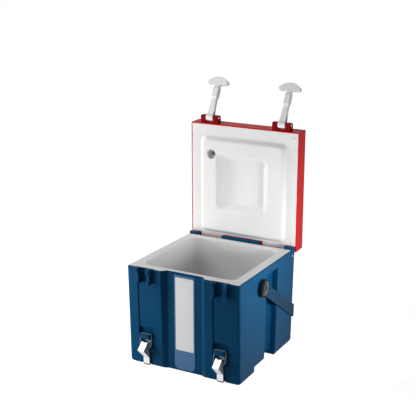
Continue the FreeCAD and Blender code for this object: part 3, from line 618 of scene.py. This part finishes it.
def screw_tree(finish):
    """A cross-slotted screw head on every point, facing down before it is turned."""
    names = ("Head Radius", "Head Height", "Slot Width", "Slot Depth")
    tree, given, out = node_group("screw_heads", names)
    head = add(tree, "GeometryNodeMeshCone", {"Vertices": SCREW_SIDES, "Side Segments": 2},
               {"Radius Top": (given, "Head Radius"), "Depth": (given, "Head Height")})
    crown = add(tree, "ShaderNodeMath", {"operation": "MULTIPLY", 1: CROWN_SHARE},
                {0: (given, "Head Radius")})
    tree.links.new(crown.outputs[0], head.inputs["Radius Bottom"])
    long = add(tree, "ShaderNodeMath", {"operation": "MULTIPLY", 1: SLOT_SHARE},
               {0: (given, "Head Radius")})
    along = add(tree, "ShaderNodeCombineXYZ", {}, {0: (long, 0), 1: (given, "Slot Width"),
                                                   2: (given, "Slot Depth")})
    across = add(tree, "ShaderNodeCombineXYZ", {}, {0: (given, "Slot Width"), 1: (long, 0),
                                                    2: (given, "Slot Depth")})
    bars = [add(tree, "GeometryNodeMeshCube", {}, {"Size": (size, 0)})
            for size in (along, across)]
    cut = head
    for bar in bars:
        cut = add(tree, "GeometryNodeMeshBoolean", {"operation": "DIFFERENCE"},
                  {"Mesh 1": (cut, "Mesh"), "Mesh 2": (bar, "Mesh")})
    spread = add(tree, "GeometryNodeInstanceOnPoints", {},
                 {"Points": (given, "Geometry"), "Instance": (cut, "Mesh")})
    finish_tree(tree, out, (spread, "Instances"), finish)
    return tree


def points_mesh(name, points, closed=False):
    mesh = bpy.data.meshes.new(name)
    count = len(points)
    edges = [(i, (i + 1) % count) for i in range(count)] if closed else []
    mesh.from_pydata(points, edges, [])
    return mesh


# Half width of a wire loop, and y and z of its two bars
LOOP_HALF_MM, LOOP_LOW_MM, LOOP_HIGH_MM = 16.75, (-168.3, 57.6), (-163.5, 91.5)
WIRE_MM = {"Wire Radius": 1.35, "Bend Radius": 4.5}
wire_tree = loop_tree(FINISHES["steel_wire"])
for side, x in (("left", -LATCH_X_MM), ("right", LATCH_X_MM)):
    ring = [Vector((x + sx * LOOP_HALF_MM, y, z)) * MM
            for sx, (y, z) in ((-1, LOOP_LOW_MM), (1, LOOP_LOW_MM),
                               (1, LOOP_HIGH_MM), (-1, LOOP_HIGH_MM))]
    loop = grow("wire_loop_%s_bent" % side, points_mesh("ring_" + side, ring, closed=True),
                wire_tree, {key: value * MM for key, value in WIRE_MM.items()})
    loop.data.shade_smooth()
    stands_for(loop, "wire_loop_" + side)

SCREW_MM = {"Head Radius": 4.0, "Head Height": 1.0, "Slot Width": 0.9, "Slot Depth": 0.9}
SCREW_X_MM, SCREW_Y_MM = (-152, 152), (-158.6, 149.1)
corners = [Vector((x, y, PANEL_Z)) * MM for x in SCREW_X_MM for y in SCREW_Y_MM]
screws = grow("lid_liner_screws", points_mesh("screw_places", corners),
              screw_tree(FINISHES["stainless_tumbled"]),
              {key: value * MM for key, value in SCREW_MM.items()})
screws.data.transform(LID_SHUT.inverted())
screws.data.shade_smooth()
screws.data.set_sharp_from_angle(angle=CREASE)
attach(screws, "lid")


# Floor, backdrop, light and camera

FLOOR_R, FLOOR_SIDES = 8.0, 96
# Distance over which the floor's lift grows, so that the shadow by the box stays
FLOOR_NEAR, FLOOR_FAR = 0.7, 1.8
LIFT_NEAR, LIFT_FAR = 0.82, 0.95
SKY = 0.15
SENSOR_MM = 36.0
FRAME_PX = 416
FOCAL_PX = 933.35
# Degrees round the box from its front, up from level and about the line of sight
CAMERA_AZ = 27.01
CAMERA_EL = 15.10
CAMERA_ROLL = 1.11
CAMERA_AT = Vector((1.0871, -2.1640, 1.0716))


def seen_directly(tree):
    """1 for camera, glossy and transmission rays."""
    path = add(tree, "ShaderNodeLightPath")
    mirror = add(tree, "ShaderNodeMath", {"operation": "MAXIMUM"},
                 {0: (path, "Is Camera Ray"), 1: (path, "Is Glossy Ray")})
    return add(tree, "ShaderNodeMath", {"operation": "MAXIMUM"},
               {0: (mirror, 0), 1: (path, "Is Transmission Ray")})


def stage_floor():
    """White floor. Camera and mirror rays see it lifted to white, the shadow stays."""
    mesh = bpy.data.meshes.new("studio_floor")
    work = bmesh.new()
    bmesh.ops.create_circle(work, cap_ends=True, segments=FLOOR_SIDES, radius=FLOOR_R)
    work.to_mesh(mesh)
    work.free()
    floor = new_object("studio_floor", mesh)
    material, tree = blank("white_studio_paper")
    seen = seen_directly(tree)
    paper = add(tree, "ShaderNodeBsdfDiffuse", {"Color": rgb("#c0c0c0")})
    place = add(tree, "ShaderNodeTexCoord")
    away = add(tree, "ShaderNodeVectorMath", {"operation": "LENGTH"}, {0: (place, "Object")})
    strength = add(tree, "ShaderNodeMapRange", {"From Min": FLOOR_NEAR, "From Max": FLOOR_FAR,
                                                "To Min": LIFT_NEAR, "To Max": LIFT_FAR},
                   {"Value": (away, "Value")})
    lift = add(tree, "ShaderNodeEmission", {}, {"Strength": (strength, "Result")})
    raised = add(tree, "ShaderNodeAddShader", {}, {0: (paper, "BSDF"), 1: (lift, "Emission")})
    out = add(tree, "ShaderNodeMixShader", {},
              {0: (seen, 0), 1: (paper, "BSDF"), 2: (raised, "Shader")})
    add(tree, "ShaderNodeOutputMaterial", {}, {"Surface": (out, "Shader")})
    mesh.materials.append(material)


def backdrop():
    """White to the camera and to mirrors, a pale even sky to the rest."""
    world = bpy.data.worlds.new("studio")
    bpy.context.scene.world = world
    world.use_nodes = True
    tree = world.node_tree
    tree.nodes.clear()
    sky = add(tree, "ShaderNodeBackground", {"Color": rgb("#f4f7fa"), "Strength": SKY})
    white = add(tree, "ShaderNodeBackground", {"Color": rgb("#ffffff"), "Strength": 1.0})
    seen = seen_directly(tree)
    out = add(tree, "ShaderNodeMixShader", {},
              {0: (seen, 0), 1: (sky, "Background"), 2: (white, "Background")})
    add(tree, "ShaderNodeOutputWorld", {}, {"Surface": (out, "Shader")})


def softbox(name, place, size, watts, target=(0, 0, 0.3)):
    light = bpy.data.lights.new(name, "AREA")
    light.shape = "RECTANGLE"
    light.size, light.size_y = size
    light.energy = watts
    lamp = new_object(name, light)
    lamp.location = place
    lamp.rotation_euler = (Vector(target) - Vector(place)).to_track_quat("-Z", "Y").to_euler()


def camera():
    """The photo's viewpoint: to the right of the front and a little above."""
    data = bpy.data.cameras.new("camera")
    data.sensor_width = SENSOR_MM
    data.lens = SENSOR_MM * FOCAL_PX / FRAME_PX
    shot = new_object("camera", data)
    turn = (Matrix.Rotation(math.radians(CAMERA_AZ), 4, "Z")
            @ Matrix.Rotation(math.radians(90 - CAMERA_EL), 4, "X")
            @ Matrix.Rotation(math.radians(CAMERA_ROLL), 4, "Z"))
    shot.matrix_world = Matrix.Translation(CAMERA_AT) @ turn
    bpy.context.scene.camera = shot


stage_floor()
backdrop()
softbox("lid_from_left", (-1.0, -0.14, 0.42), (0.35, 0.6), 5.9, target=(0, 0.18, 0.45))
softbox("front_from_left", (-0.55, -0.5, 0.2), (0.25, 0.4), 3.2, target=(-0.1, -0.17, 0.15))
softbox("side_from_right", (0.5, -0.04, 0.31), (0.2, 0.14), 2.3, target=(0.17, 0.06, 0.32))
softbox("top", (-0.9, -0.6, 1.5), (1.2, 1.2), 13.5)
camera()
bpy.context.scene.view_settings.view_transform = "Standard"
